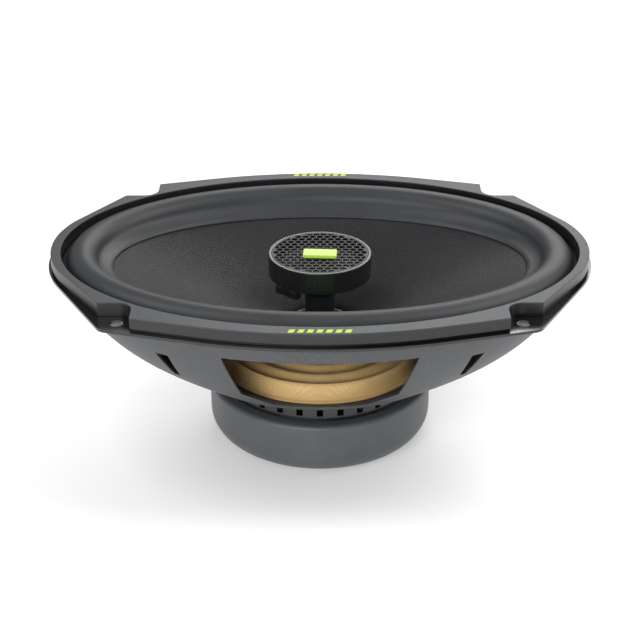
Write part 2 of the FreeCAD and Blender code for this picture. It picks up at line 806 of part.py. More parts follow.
def make_terminal(name, centre_x, half_width):
    """Push-on blade bent square off its foot, which lies on the board."""
    body = new_body(name)
    face = "tab_y + sheet_gauge + board_wall"
    profile = new_sketch(body, name + "_profile", "YZ_Plane", lift=centre_x)
    draw_polygon(profile, [
        (face, "blade_z"),
        (face + " + blade_reach", "blade_z"),
        (face + " + blade_reach", "blade_z + blade_gauge"),
        (face + " + blade_gauge", "blade_z + blade_gauge"),
        (face + " + blade_gauge", "blade_z + blade_foot"),
        (face, "blade_z + blade_foot"),
    ])
    pad(body, profile, "2 * " + half_width, symmetric=True)
    return body


def make_terminal_rivets():
    """Two eyelet rivets through the board and the basket's tab."""
    solids = []
    inner = size("tab_y")
    outer = size("tab_y + sheet_gauge + board_wall")
    head = size("board_rivet_head")
    head_radius = size("board_rivet_head_radius")
    for way in (-1, 1):
        x = way * size("board_rivet_x")
        z = size("board_rivet_z")
        along = Vector(0, 1, 0)
        shank = Part.makeCylinder(size("board_rivet_radius"), outer - inner, Vector(x, inner, z), along)
        near = Part.makeCylinder(head_radius, head, Vector(x, inner - head, z), along)
        far = Part.makeCylinder(head_radius, head, Vector(x, outer, z), along)
        solids.append(shank.fuse([near, far]).removeSplitter())
    return plain_feature("terminal_rivets", Part.makeCompound(solids))


def make_capacitor():
    """High-pass capacitor of the tweeter, a can lying across the board."""
    can = doc.addObject("Part::Cylinder", "tweeter_capacitor")
    can.Label = "tweeter_capacitor"
    can.setExpression("Radius", formula("capacitor_radius"))
    can.setExpression("Height", formula("2 * capacitor_half"))
    can.setExpression("Placement.Base.x", formula("-capacitor_half"))
    face = "tab_y + sheet_gauge + board_wall"
    can.setExpression("Placement.Base.y", formula(face + " + capacitor_radius"))
    can.setExpression("Placement.Base.z", formula("capacitor_z"))
    can.Placement.Rotation = Rotation(Vector(0, 1, 0), 90)
    return can


def make_tinsel_lead(name, side):
    """Flexible lead from the back of the cone to the board, slack enough for the whole travel."""
    # corners of the lead: x as a share of the blade's, then y and z
    corners = [
        (0.9, 27.0, -25.8),
        (0.9, 27.6, -30.6),
        (0.95, 32.5, -32.6),
        (1.0, 37.0, -30.2),
        (1.0, 41.2, -27.0),
        (1.0, size("tab_y + sheet_gauge") - 0.1, -26.4),
    ]
    blade_x = side * size("blade_x")
    points = [Vector(share * blade_x, y, z) for share, y, z in corners]
    return plain_feature(name, tube_along(points, size("lead_radius")))


def make_tweeter_leads():
    """Pair of leads down the hollow post, along the boot's channel and up to the capacitor."""
    floor = size("back_plate_z") - 0.9
    wall = size("magnet_radius") + 0.9
    capacitor_y = size("tab_y + sheet_gauge + board_wall + capacitor_radius")
    capacitor_foot = size("capacitor_z - capacitor_radius")
    # corners of the lead: distance from the middle plane, then y and z
    corners = [
        (0.9, 0.3, size("tweeter_stem_z") + 0.4),
        (0.9, -0.3, -40.0),
        (0.9, 0.0, floor),
        (0.7, 9.0, floor + 0.05),
        (0.9, 36.0, floor),
        (0.9, size("back_plate_radius") + 0.4, floor),
        (0.9, wall, size("magnet_z") - 2.2),
        (0.9, wall, -53.0),
        (1.8, 51.5, -49.0),
        (2.7, capacitor_y, capacitor_foot - 0.4),
    ]
    solids = []
    for side in (-1, 1):
        points = [Vector(side * x, y, z) for x, y, z in corners]
        solids.append(tube_along(points, size("tweeter_lead_radius")))
    return plain_feature("tweeter_leads", Part.makeCompound(solids))


# ---------------------------------------------------------------------------------------------
# Tweeter on its post
# ---------------------------------------------------------------------------------------------
def make_tweeter_post():
    """Hollow post: a thick column over the pole and a threaded rod down through it."""
    return turned("tweeter_post", [
        ("post_bore", "back_plate_z + 0.4"),
        ("post_rod_radius", "back_plate_z + 0.4"),
        ("post_rod_radius", "pole_top_z"),
        ("post_radius + 2.5", "pole_top_z"),
        ("post_radius + 2.5", "pole_top_z + 3"),
        ("post_radius", "pole_top_z + 6"),
        ("post_radius", "tweeter_stem_z - 4"),
        ("post_radius + 3.5", "tweeter_stem_z"),
        ("post_bore", "tweeter_stem_z"),
    ])


def make_post_nut():
    """Hexagon nut that clamps the post to the yoke from behind."""
    prism = doc.addObject("Part::Prism", "nut_blank")
    prism.Polygon = 6
    prism.setExpression("Circumradius", formula("nut_across_corners / 2"))
    prism.setExpression("Height", formula("nut_height"))
    prism.setExpression("Placement.Base.z", formula("magnet_z - nut_height"))
    bore = doc.addObject("Part::Cylinder", "nut_bore")
    bore.setExpression("Radius", formula("post_rod_radius"))
    bore.setExpression("Height", formula("3 * nut_height"))
    bore.setExpression("Placement.Base.z", formula("magnet_z - 2 * nut_height"))
    nut = doc.addObject("Part::Cut", "post_nut")
    nut.Label = "post_nut"
    nut.Base = prism
    nut.Tool = bore
    return nut


def make_tweeter_base():
    """Lower shell under the tweeter: bevelled edge, stem on the post and a lug for its leads."""
    body = turned("tweeter_base", [
        ("post_bore", "tweeter_stem_z"),
        ("post_radius + 3.5", "tweeter_stem_z"),
        ("tweeter_lower_radius - 2", "tweeter_base_z - 0.6"),
        ("tweeter_lower_radius", "tweeter_base_z"),
        ("tweeter_radius - 0.8", "tweeter_floor_z"),
        ("tweeter_motor_radius", "tweeter_floor_z"),
        ("tweeter_motor_radius", "tweeter_base_z + 0.2"),
        ("post_bore", "tweeter_base_z + 0.2"),
    ])
    lug = new_sketch(body, "lead_lug", lift="tweeter_floor_z")
    draw_polygon(lug, [
        ("-19.2", "-12.6"),
        ("-10.2", "-20.6"),
        ("-8.2", "-18.4"),
        ("-17.2", "-10.4"),
    ])
    pad(body, lug, "lug_height", downwards=True)
    return body


def make_tweeter_housing():
    """Cup that holds the grille, the diaphragm and the tweeter's motor."""
    return turned("tweeter_housing", [
        ("tweeter_motor_radius", "tweeter_floor_z"),
        ("tweeter_radius", "tweeter_floor_z"),
        ("tweeter_radius", "tweeter_rim_z"),
        ("tweeter_radius - tweeter_wall", "tweeter_rim_z"),
        ("tweeter_radius - tweeter_wall", "tweeter_ledge_z"),
        ("tweeter_motor_radius", "tweeter_ledge_z"),
    ])


def make_grille():
    """Honeycomb grille: a disc pierced by hexagons, which are clipped round at its border."""
    radius = size("tweeter_radius - tweeter_wall")
    top = size("tweeter_rim_z")
    gauge = size("grille_gauge")
    pitch = size("grille_pitch")
    corner = (pitch - size("grille_web")) / math.sqrt(3)
    row_step = pitch * math.sqrt(3) / 2
    under = top - 2 * gauge
    field = Part.makeCylinder(radius - size("grille_border"), 4 * gauge, Vector(0, 0, under))
    whole_cell = 1.5 * math.sqrt(3) * corner ** 2 * 4 * gauge
    cells = []
    reach = int(radius / row_step) + 1
    for row in range(-reach, reach + 1):
        for column in range(-reach, reach + 1):
            x = pitch * (column + 0.5 * (row % 2))
            y = row_step * row
            turns = [math.radians(60 * step + 30) for step in range(7)]
            ring = [Vector(x + corner * math.cos(t), y + corner * math.sin(t), under) for t in turns]
            cell = Part.Face(Part.makePolygon(ring)).extrude(Vector(0, 0, 4 * gauge)).common(field)
            if cell.Volume > 0.3 * whole_cell:
                cells.append(cell)
    disc = Part.makeCylinder(radius, gauge, Vector(0, 0, top - gauge))
    return plain_feature("tweeter_grille", disc.cut(cells))


def make_badge():
    """Plain badge plate on the grille."""
    plate = doc.addObject("Part::Box", "tweeter_badge")
    plate.Label = "tweeter_badge"
    plate.setExpression("Length", formula("2 * badge_half_x"))
    plate.setExpression("Width", formula("2 * badge_half_y"))
    plate.setExpression("Height", formula("badge_top_z - tweeter_rim_z"))
    plate.setExpression("Placement.Base.x", formula("-badge_half_x"))
    plate.setExpression("Placement.Base.y", formula("badge_offset - badge_half_y"))
    plate.setExpression("Placement.Base.z", formula("tweeter_rim_z"))
    return plate


def make_dome():
    """Soft dome: a thin spherical cap with a short skirt down to the coil."""
    base_radius = size("dome_radius")
    rise = size("dome_rise")
    wall = size("dome_wall")
    sphere_radius = (base_radius ** 2 + rise ** 2) / (2 * rise)
    base = size("dome_base_z")
    centre = Vector(0, 0, base + rise - sphere_radius)
    outer = Part.makeSphere(sphere_radius, centre)
    inner = Part.makeSphere(sphere_radius - wall, centre)
    slab = Part.makeCylinder(base_radius, rise + 1, Vector(0, 0, base))
    return plain_feature("tweeter_dome", outer.cut(inner).common(slab))


def make_tweeter_suspension():
    """Small flat rolled rim between the dome and the carrier ring."""
    return turned("tweeter_suspension", [
        ("dome_radius + 0.2", "dome_base_z"),
        ("dome_radius + 1.2", "dome_base_z + 0.8"),
        ("dome_radius + 2.4", "dome_base_z"),
        ("tweeter_motor_radius + 1.4", "dome_base_z"),
        ("tweeter_motor_radius + 1.4", "dome_base_z - 0.2"),
        ("dome_radius + 2.3", "dome_base_z - 0.2"),
        ("dome_radius + 1.2", "dome_base_z + 0.55"),
        ("dome_radius + 0.2", "dome_base_z - 0.2"),
    ])


def make_carrier():
    """Ring that the diaphragm is glued to, resting on the housing's ledge."""
    return turned("tweeter_carrier", [
        ("tweeter_motor_radius + 0.6", "tweeter_ledge_z"),
        ("tweeter_radius - tweeter_wall", "tweeter_ledge_z"),
        ("tweeter_radius - tweeter_wall", "dome_base_z - 0.2"),
        ("tweeter_motor_radius + 0.6", "dome_base_z - 0.2"),
    ])


def make_tweeter_coil():
    """Winding below the dome's edge, hanging in the tweeter's gap."""
    return turned("tweeter_coil", [
        ("dome_radius - 0.3", "dome_base_z - 2.4"),
        ("dome_radius + 0.1", "dome_base_z - 2.4"),
        ("dome_radius + 0.1", "dome_base_z"),
        ("dome_radius - 0.3", "dome_base_z"),
    ])


def make_tweeter_yoke():
    """Steel pot round the tweeter's magnet."""
    return turned("tweeter_yoke", [
        ("0", "tweeter_base_z + 0.2"),
        ("tweeter_motor_radius", "tweeter_base_z + 0.2"),
        ("tweeter_motor_radius", "dome_base_z - 0.9"),
        ("dome_radius + 0.5", "dome_base_z - 0.9"),
        ("dome_radius + 0.5", "tweeter_base_z + 1.7"),
        ("0", "tweeter_base_z + 1.7"),
    ])


def make_tweeter_magnet():
    """Small neodymium disc."""
    return turned("tweeter_magnet", [
        ("0", "tweeter_base_z + 1.7"),
        ("dome_radius - 2.5", "tweeter_base_z + 1.7"),
        ("dome_radius - 2.5", "dome_base_z - 2.1"),
        ("0", "dome_base_z - 2.1"),
    ])


def make_tweeter_plate():
    """Steel disc over the tweeter's magnet, inside the coil."""
    return turned("tweeter_plate", [
        ("0", "dome_base_z - 2.1"),
        ("dome_radius - 0.7", "dome_base_z - 2.1"),
        ("dome_radius - 0.7", "dome_base_z - 0.9"),
        ("0", "dome_base_z - 0.9"),
    ])


# ---------------------------------------------------------------------------------------------
# Build, check and write
# ---------------------------------------------------------------------------------------------
def build_all():
    return [
        make_basket(),
        make_trim_ring(),
        make_surround(),
        make_cone(),
        make_former(),
        make_voice_coil(),
        make_spider(),
        make_top_plate(),
        make_ferrite_magnet(),
        make_yoke(),
        make_magnet_boot(),
        make_basket_rivets(),
        make_terminal_board(),
        make_terminal("positive_terminal", "blade_x", "positive_blade_half"),
        make_terminal("negative_terminal", "-blade_x", "negative_blade_half"),
        make_terminal_rivets(),
        make_capacitor(),
        make_tinsel_lead("positive_tinsel_lead", 1),
        make_tinsel_lead("negative_tinsel_lead", -1),
        make_tweeter_leads(),
        make_tweeter_post(),
        make_post_nut(),
        make_tweeter_base(),
        make_tweeter_housing(),
        make_grille(),
        make_badge(),
        make_dome(),
        make_tweeter_suspension(),
        make_carrier(),
        make_tweeter_coil(),
        make_tweeter_yoke(),
        make_tweeter_magnet(),
        make_tweeter_plate(),
    ]


def check_document(pieces):
    """Stop on any object that failed to compute and on any piece without a sound solid."""
    for item in doc.Objects:
        if "Invalid" in item.State or "Error" in item.State:
            raise RuntimeError("%s did not compute: %s" % (item.Name, item.State))
    for piece in pieces:
        if piece.Shape.isNull() or not piece.Shape.isValid() or not piece.Shape.Solids:
            raise RuntimeError("%s has no valid solid" % piece.Label)


def write_steps(pieces):
    os.makedirs("parts", exist_ok=True)
    for piece in pieces:
        piece.Shape.exportStep("parts/%s.step" % piece.Label)
        box = piece.Shape.BoundBox
        print("%-22s %d solid(s)  %9.1f mm3  x %7.2f %7.2f  y %7.2f %7.2f  z %7.2f %7.2f" % (
            piece.Label, len(piece.Shape.Solids), piece.Shape.Volume,
            box.XMin, box.XMax, box.YMin, box.YMax, box.ZMin, box.ZMax))


all_pieces = build_all()
doc.recompute()
check_document(all_pieces)
write_steps(all_pieces)
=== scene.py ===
import math

import bmesh
import bpy
from mathutils import Matrix, Vector
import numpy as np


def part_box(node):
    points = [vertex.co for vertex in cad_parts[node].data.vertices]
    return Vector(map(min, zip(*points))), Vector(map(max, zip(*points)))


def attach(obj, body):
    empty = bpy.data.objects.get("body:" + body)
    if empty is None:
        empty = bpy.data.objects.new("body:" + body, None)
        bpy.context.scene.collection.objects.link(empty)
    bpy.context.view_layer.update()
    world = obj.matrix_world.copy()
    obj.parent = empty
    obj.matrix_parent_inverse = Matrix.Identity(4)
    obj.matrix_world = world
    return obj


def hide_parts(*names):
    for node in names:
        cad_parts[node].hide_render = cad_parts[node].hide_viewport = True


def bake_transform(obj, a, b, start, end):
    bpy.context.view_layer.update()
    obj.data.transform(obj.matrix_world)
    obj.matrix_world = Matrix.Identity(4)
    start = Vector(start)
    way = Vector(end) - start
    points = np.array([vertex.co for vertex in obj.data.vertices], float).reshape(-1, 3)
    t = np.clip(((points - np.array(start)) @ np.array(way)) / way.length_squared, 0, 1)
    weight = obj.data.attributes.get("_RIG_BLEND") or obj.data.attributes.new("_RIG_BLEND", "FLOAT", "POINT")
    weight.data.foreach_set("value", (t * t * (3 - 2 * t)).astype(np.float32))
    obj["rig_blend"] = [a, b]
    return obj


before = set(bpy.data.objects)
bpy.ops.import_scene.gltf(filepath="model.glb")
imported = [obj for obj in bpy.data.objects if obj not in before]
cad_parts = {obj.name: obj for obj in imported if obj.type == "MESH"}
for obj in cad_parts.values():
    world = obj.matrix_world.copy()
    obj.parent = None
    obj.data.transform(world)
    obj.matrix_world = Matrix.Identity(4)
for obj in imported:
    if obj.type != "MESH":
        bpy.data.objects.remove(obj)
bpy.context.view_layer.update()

MM = 0.001

# --- Table top, lamps and camera ---------------------------------------------------------------
# The speaker lies face up on its magnet boot on a white table, lit by broad soft lamps.
boot_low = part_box("magnet_boot")[0]


def add_object(name, mesh):
    item = bpy.data.objects.new(name, mesh)
    bpy.context.scene.collection.objects.link(item)
    return item


def mesh_from(build, name):
    mesh = bpy.data.meshes.new(name)
    build.to_mesh(mesh)
    build.free()
    return mesh


table_build = bmesh.new()
bmesh.ops.create_grid(table_build, x_segments=1, y_segments=1, size=4.0)
bmesh.ops.translate(table_build, verts=table_build.verts, vec=(0, 0, boot_low.z))
table_top = add_object("table_top", mesh_from(table_build, "table_top"))


def soft_lamp(name, place, aim, width, height, watts):
    lamp = bpy.data.lights.new(name, "AREA")
    lamp.shape = "RECTANGLE"
    lamp.size = width
    lamp.size_y = height
    lamp.energy = watts
    item = bpy.data.objects.new(name, lamp)
    bpy.context.scene.collection.objects.link(item)
    item.location = place
    item.rotation_euler = (Vector(aim) - Vector(place)).to_track_quat("-Z", "Y").to_euler()


soft_lamp("back_softbox", (0.25, 0.85, 0.55), (0, 0, -0.02), 0.9, 0.3, 4.5)
soft_lamp("front_softbox", (-0.35, -1.0, 0.35), (0, 0, -0.04), 0.9, 0.5, 8.0)
soft_lamp("right_softbox", (1.0, 0.1, 0.5), (0, 0, -0.02), 0.5, 0.9, 3.0)
soft_lamp("high_right_softbox", (0.62, -0.05, 0.95), (0, 0, 0), 0.35, 0.6, 4.0)
soft_lamp("high_left_softbox", (-0.62, -0.05, 0.95), (0, 0, 0), 0.35, 0.6, 4.0)

world = bpy.data.worlds.new("studio")
bpy.context.scene.world = world
world.use_nodes = True
world.node_tree.nodes["Background"].inputs["Color"].default_value = (1.0, 1.0, 1.0, 1.0)
world.node_tree.nodes["Background"].inputs["Strength"].default_value = 0.36

camera = bpy.data.cameras.new("camera")
camera.lens = 90.0
camera.sensor_width = 36.0
camera_item = bpy.data.objects.new("camera", camera)
bpy.context.scene.collection.objects.link(camera_item)
camera_rise = math.radians(27.0)
CAMERA_DISTANCE = 0.71
camera_aim = Vector((0.0, 0.0, -0.029))
camera_way = Vector((0.0, -math.cos(camera_rise), math.sin(camera_rise)))
camera_item.location = camera_aim + CAMERA_DISTANCE * camera_way
camera_item.rotation_euler = (-camera_way).to_track_quat("-Z", "Y").to_euler()
bpy.context.scene.camera = camera_item
bpy.context.scene.view_settings.view_transform = "Standard"


# --- Basket ------------------------------------------------------------------------------------
# Pressed sheet steel in black paint: gloss black on the flange and the cup, and a speckled sandy grey on the
# dish that is a painted reflection of the white table below it.
# The pressing is the drawn one with its sheared edges broken.
class Link:
    """A node's output that can stand in arithmetic."""

    def __init__(self, finish, socket):
        self.finish = finish
        self.socket = socket

    def join(self, operation, other, flip=False):
        pair = [other, self] if flip else [self, other]
        return self.finish.node("Math", {"operation": operation}, dict(enumerate(pair)))

    def __add__(self, other):
        return self.join("ADD", other)

    def __sub__(self, other):
        return self.join("SUBTRACT", other)

    def __rsub__(self, other):
        return self.join("SUBTRACT", other, flip=True)

    def __mul__(self, other):
        return self.join("MULTIPLY", other)

    def __gt__(self, other):
        return self.join("GREATER_THAN", other)

    def __lt__(self, other):
        return self.join("LESS_THAN", other)

    __radd__ = __add__
    __rmul__ = __mul__


class Finish:
    """One surface finish: a material and the maker of its nodes."""

    def __init__(self, name, colour, roughness, **fixed):
        self.material = bpy.data.materials.new(name)
        self.material.use_nodes = True
        self.tree = self.material.node_tree
        self.shader = self.tree.nodes["Principled BSDF"]
        self.set("Base Color", (*colour, 1.0))
        self.set("Roughness", roughness)
        for socket, value in fixed.items():
            self.set(socket.replace("_", " "), value)
        self.point = self.node("TexCoord", {}, {}, "Object")

    def node(self, kind, settings, inputs, output=0):
        item = self.tree.nodes.new("ShaderNode" + kind)
        for key, value in settings.items():
            setattr(item, key, value)
        for key, value in inputs.items():
            self.feed(item.inputs[key], value)
        return Link(self, item.outputs[output])

    def feed(self, socket, value):
        if isinstance(value, Link):
            self.tree.links.new(value.socket, socket)
        else:
            socket.default_value = value

    def set(self, socket, value):
        self.feed(self.shader.inputs[socket], value)

    def axis(self, name):
        return self.node("SeparateXYZ", {}, {0: self.point}, name)

    def noise(self, grain, detail=3.0, stretch=(1, 1, 1)):
        """Soft random values about 0.5, with a grain of this size in metres."""
        spread = tuple(part / grain for part in stretch)
        place = self.node("VectorMath", {"operation": "MULTIPLY"}, {0: self.point, 1: spread})
        return self.node("TexNoise", {}, {"Vector": place, "Scale": 1.0, "Detail": detail})

    def ramp(self, value, low, high):
        """0 below low, 1 above high, even between them."""
        limits = {"From Min": low, "From Max": high}
        return self.node("MapRange", {"clamp": True}, {"Value": value, **limits})

    def mix(self, share, first, second):
        shades = [shade if isinstance(shade, Link) else (*shade, 1.0) for shade in (first, second)]
        settings = {"data_type": "RGBA"}
        return self.node("Mix", settings, {0: share, 6: shades[0], 7: shades[1]}, 2)

    def relief(self, height, depth):
        self.set("Normal", self.node("Bump", {}, {"Height": height, "Distance": depth}))

    def dress(self, *pieces):
        for piece in pieces:
            piece.data.materials.clear()
            piece.data.materials.append(self.material)

    def coat_node(self, *names):
        """Give the drawn node itself this finish."""
        for name in names:
            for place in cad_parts[name].material_slots:
                place.material = self.material


def refined(node, name, edge, sharp=32.0, segments=2):
    """The drawn piece with its facets joined, smooth surfaces and its edges rounded."""
    build = bmesh.new()
    build.from_mesh(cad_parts[node].data)
    bmesh.ops.remove_doubles(build, verts=build.verts, dist=0.002 * MM)
    bmesh.ops.dissolve_limit(
        build, angle_limit=math.radians(0.3), use_dissolve_boundaries=False,
        verts=build.verts, edges=build.edges)
    for face in build.faces:
        face.smooth = True
    for seam in build.edges:
        if len(seam.link_faces) == 2 and seam.calc_face_angle() > math.radians(sharp):
            seam.smooth = False
    piece = add_object(name, mesh_from(build, name))
    bevel = piece.modifiers.new("edges", "BEVEL")
    bevel.width = edge
    bevel.segments = segments
    bevel.limit_method = "ANGLE"
    bevel.angle_limit = math.radians(sharp)
    bevel.harden_normals = True
    bevel.use_clamp_overlap = True
    return piece


def settle(piece, body, node):
    """The piece moves with this body and stands for this drawn node, which is hidden."""
    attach(piece, body)
    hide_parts(node)


basket = refined("basket", "basket_pressing", 0.18 * MM)
paint = Finish("basket_paint", (0.06, 0.063, 0.068), 0.5, Coat_Roughness=0.12)
height = paint.axis("Z")
FLANGE_GLOSS_FOOT = -0.6 * MM
CUP_GLOSS_TOP = -46.9 * MM
gloss = (height > FLANGE_GLOSS_FOOT) + (height < CUP_GLOSS_TOP)
speck = paint.ramp(paint.noise(0.5 * MM, 2.0), 0.45, 0.72)
cloud = paint.noise(18 * MM, 3.0)
# The dish's speckled sandy grey is the black paint lightened as a painted reflection of the white table; the
# gloss black on the flange and the cup is the paint's own colour.
sandy_and_painted_reflection = paint.mix(speck, (0.050, 0.053, 0.058), (0.115, 0.12, 0.127))
sandy_and_painted_reflection = paint.mix(cloud * 0.35, sandy_and_painted_reflection, (0.04, 0.042, 0.046))
paint.set("Base Color", paint.mix(gloss, sandy_and_painted_reflection, (0.006, 0.0065, 0.007)))
paint.set("Roughness", (0.46 + 0.14 * speck) * (1 - gloss) + gloss * (0.16 + 0.08 * cloud))
paint.set("Coat Weight", 0.35 * gloss)
paint.relief(paint.noise(0.55 * MM, 2.0) * (1 - 0.85 * gloss), 0.12 * MM)
paint.dress(basket)
settle(basket, "frame", "basket")

# --- Trim ring ---------------------------------------------------------------------------------
# Moulded ring pressed over the flange: satin black plastic with soft edges, wells round the screws.
WALL_TOP = 7.0 * MM
SKIRT_TOP = 2.55 * MM
ring = refined("trim_ring", "trim_ring_moulding", 0.45 * MM, segments=3)
satin = Finish("satin_moulding", (0.03, 0.032, 0.035), 0.4)
fine = satin.noise(0.35 * MM, 2.0)
broad = satin.noise(26 * MM, 3.0)
wall = satin.axis("Z") < WALL_TOP
skirt_painted_shadow = satin.axis("Z") < SKIRT_TOP
worn = satin.ramp(satin.noise(2.2 * MM, 5.0, (1, 1, 3)), 0.63, 0.72)
face_shade = satin.mix(broad, (0.026, 0.028, 0.031), (0.043, 0.046, 0.050))
face_shade = satin.mix(worn * 0.35, face_shade, (0.075, 0.078, 0.082))
# The outer wall below WALL_TOP is the same satin moulding painted darker: painted shade. The wall is also
# made glossier.
wall_painted_shade = satin.mix(broad, (0.008, 0.0085, 0.0095), (0.017, 0.018, 0.020))
face_shade = satin.mix(wall, face_shade, wall_painted_shade)
# Below SKIRT_TOP the rebate over the flange is painted near black: painted shadow in the gap.
satin.set("Base Color", satin.mix(skirt_painted_shadow, face_shade, (0.004, 0.004, 0.005)))
satin.set("Roughness", 0.36 + 0.12 * broad + 0.08 * fine + 0.1 * worn - 0.14 * wall)
satin.relief(fine, 0.03 * MM)
satin.dress(ring)
settle(ring, "frame", "trim_ring")

# --- Cone --------------------------------------------------------------------------------------
# Woven fibre cone, stiffened with resin: an oval rim drawn down straight to a round neck.
CONE_RIM = Vector((96.0, 60.2, 1.05)) * MM
CONE_NECK = Vector((14.9, 14.9, -30.6)) * MM


def cone_axes(share):
    """Half axes and height of the cone's face, this far up from the neck."""
    return CONE_NECK.lerp(CONE_RIM, share)


def cone_height(x, y):
    """Height of the cone's face over a point, by halving."""
    low, high = 0.0, 1.2
    for _ in range(24):
        middle = (low + high) / 2
        axes = cone_axes(middle)
        if (x / axes.x) ** 2 + (y / axes.y) ** 2 > 1:
            low = middle
        else:
            high = middle
    return cone_axes(middle).z


def hoop_stack(name, stations, count, wall):
    """A skin through oval hoops, each (half x, half y, outward step, height or a function)."""
    build = bmesh.new()
    bmesh.ops.create_circle(build, cap_ends=False, radius=1.0, segments=count)
    rim = list(build.edges)
    for _ in stations[1:]:
        grown = bmesh.ops.extrude_edge_only(build, edges=rim)["geom"]
        verts = [part for part in grown if isinstance(part, bmesh.types.BMVert)]
        rim = [part for part in grown if isinstance(part, bmesh.types.BMEdge)]
        rim = [part for part in rim if all(vert in verts for vert in part.verts)]
        bmesh.ops.translate(build, verts=verts, vec=(0, 0, 1))
    for vert in build.verts:
        half_x, half_y, step, rise = stations[round(vert.co.z)]
        turn = math.atan2(vert.co.y, vert.co.x)
        out = Vector((math.cos(turn) / half_x, math.sin(turn) / half_y)).normalized()
        x = half_x * math.cos(turn) + out.x * step
        y = half_y * math.sin(turn) + out.y * step
        vert.co = (x, y, rise(x, y) if callable(rise) else rise)
    bmesh.ops.recalc_face_normals(build, faces=build.faces)
    up = sum(face.normal.z * face.calc_area() for face in build.faces)
    if up < 0:
        bmesh.ops.reverse_faces(build, faces=build.faces)
    for face in build.faces:
        face.smooth = True
    piece = add_object(name, mesh_from(build, name))
    thick = piece.modifiers.new("wall", "SOLIDIFY")
    thick.thickness = wall
    thick.offset = -1.0
    thick.use_even_offset = True
    return piece


cone_hoops = [(cone_axes(step / 14).x, cone_axes(step / 14).y, 0.0, cone_axes(step / 14).z)
              for step in range(15)]
cone = hoop_stack("woven_cone", cone_hoops, 256, 0.9 * MM)

weave = Finish("woven_cone", (0.012, 0.0125, 0.014), 0.34, Specular_IOR_Level=0.34)
THREAD = 0.85 * MM
warp_wave = weave.node("Math", {"operation": "SINE"}, {0: weave.axis("X") * (math.pi / THREAD)})
weft_wave = weave.node("Math", {"operation": "SINE"}, {0: weave.axis("Y") * (math.pi / THREAD)})
warp = weave.node("Math", {"operation": "ABSOLUTE"}, {0: warp_wave})
weft = weave.node("Math", {"operation": "ABSOLUTE"}, {0: weft_wave})
over = (warp_wave * weft_wave) > 0.0
cloth = warp * over + weft * (1 - over)
slub = weave.noise(3.0 * MM, 4.0, (1, 9, 1))
patch = weave.noise(30 * MM, 3.0)
thread_shade = weave.mix(cloth, (0.002, 0.0021, 0.0023), (0.016, 0.017, 0.019))
thread_shade = weave.mix(over * 0.35, thread_shade, (0.024, 0.025, 0.027))
weave.set("Base Color", weave.mix(slub * 0.3, thread_shade, (0.012, 0.0125, 0.0135)))
weave.set("Roughness", 0.27 + 0.14 * patch + 0.10 * over + 0.08 * slub)
weave.relief(cloth * 0.8 + slub * 0.35, 0.16 * MM)
weave.dress(cone)
settle(cone, "cone_assembly", "cone")

# --- Surround ----------------------------------------------------------------------------------
# Rubber half roll: its inner lip is glued down the cone's face, its outer lip lies on the flange.
ROLL = Vector((102.9, 67.1)) * MM
ROLL_RADIUS = 6.9 * MM
FLANGE_TOP = 1.2 * MM
LIP = 0.9 * MM
roll_hoops = []
LIP_EDGE = -13.2
for step in (LIP_EDGE, -12.9, -11.0, -8.8):
    rise = (0.15 if step == LIP_EDGE else 0.75) * MM
    roll_hoops.append((ROLL.x, ROLL.y, step * MM, lambda x, y, rise=rise: cone_height(x, y) + rise))
roll_hoops.append((ROLL.x, ROLL.y, -7.6 * MM, FLANGE_TOP + 0.7 * MM))
ROLL_STEPS = 16
for step in range(1, ROLL_STEPS):
    turn = math.pi * (1 - step / ROLL_STEPS)
    across = ROLL_RADIUS * math.cos(turn)
    rise = FLANGE_TOP + ROLL_RADIUS * math.sin(turn)
    roll_hoops.append((ROLL.x, ROLL.y, across, rise))
roll_hoops.append((ROLL.x, ROLL.y, 7.5 * MM, FLANGE_TOP + LIP))
roll_hoops.append((ROLL.x, ROLL.y, 8.9 * MM, FLANGE_TOP + LIP))
surround = hoop_stack("rubber_surround", roll_hoops, 320, 0.7 * MM)


def stretch_between(piece, oval, outer, inner):
    """Share the travel over a suspension: none at its outer edge, all of it at its inner edge.

    The edges are steps off the oval, in metres; the weights run radially instead of along a line.
    """
    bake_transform(piece, "frame", "cone_assembly", start=(0, 0, 0), end=(0, 0, 0.001))
    shares = piece.data.attributes["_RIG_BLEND"].data
    for vert, share in zip(piece.data.vertices, shares):
        turn = math.atan2(vert.co.y / oval[1], vert.co.x / oval[0])
        out = Vector((math.cos(turn) / oval[0], math.sin(turn) / oval[1])).normalized()
        gap = Vector((vert.co.x - oval[0] * math.cos(turn), vert.co.y - oval[1] * math.sin(turn)))
        part = min(1.0, max(0.0, (outer - gap.dot(out)) / (outer - inner)))
        share.value = part * part * (3 - 2 * part)


stretch_between(surround, ROLL, 7.4 * MM, -7.8 * MM)
rubber = Finish("surround_rubber", (0.02, 0.021, 0.023), 0.5)
dust = rubber.ramp(rubber.noise(0.9 * MM, 6.0), 0.6, 0.74)
bloom = rubber.noise(22 * MM, 3.0)
rubber_shade = rubber.mix(bloom, (0.013, 0.0137, 0.015), (0.028, 0.030, 0.033))
rubber.set("Base Color", rubber.mix(dust * 0.25, rubber_shade, (0.07, 0.072, 0.075)))
rubber.set("Roughness", 0.42 + 0.14 * bloom + 0.1 * dust)
rubber.relief(rubber.noise(0.4 * MM, 2.0), 0.035 * MM)
rubber.dress(surround)
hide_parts("surround")

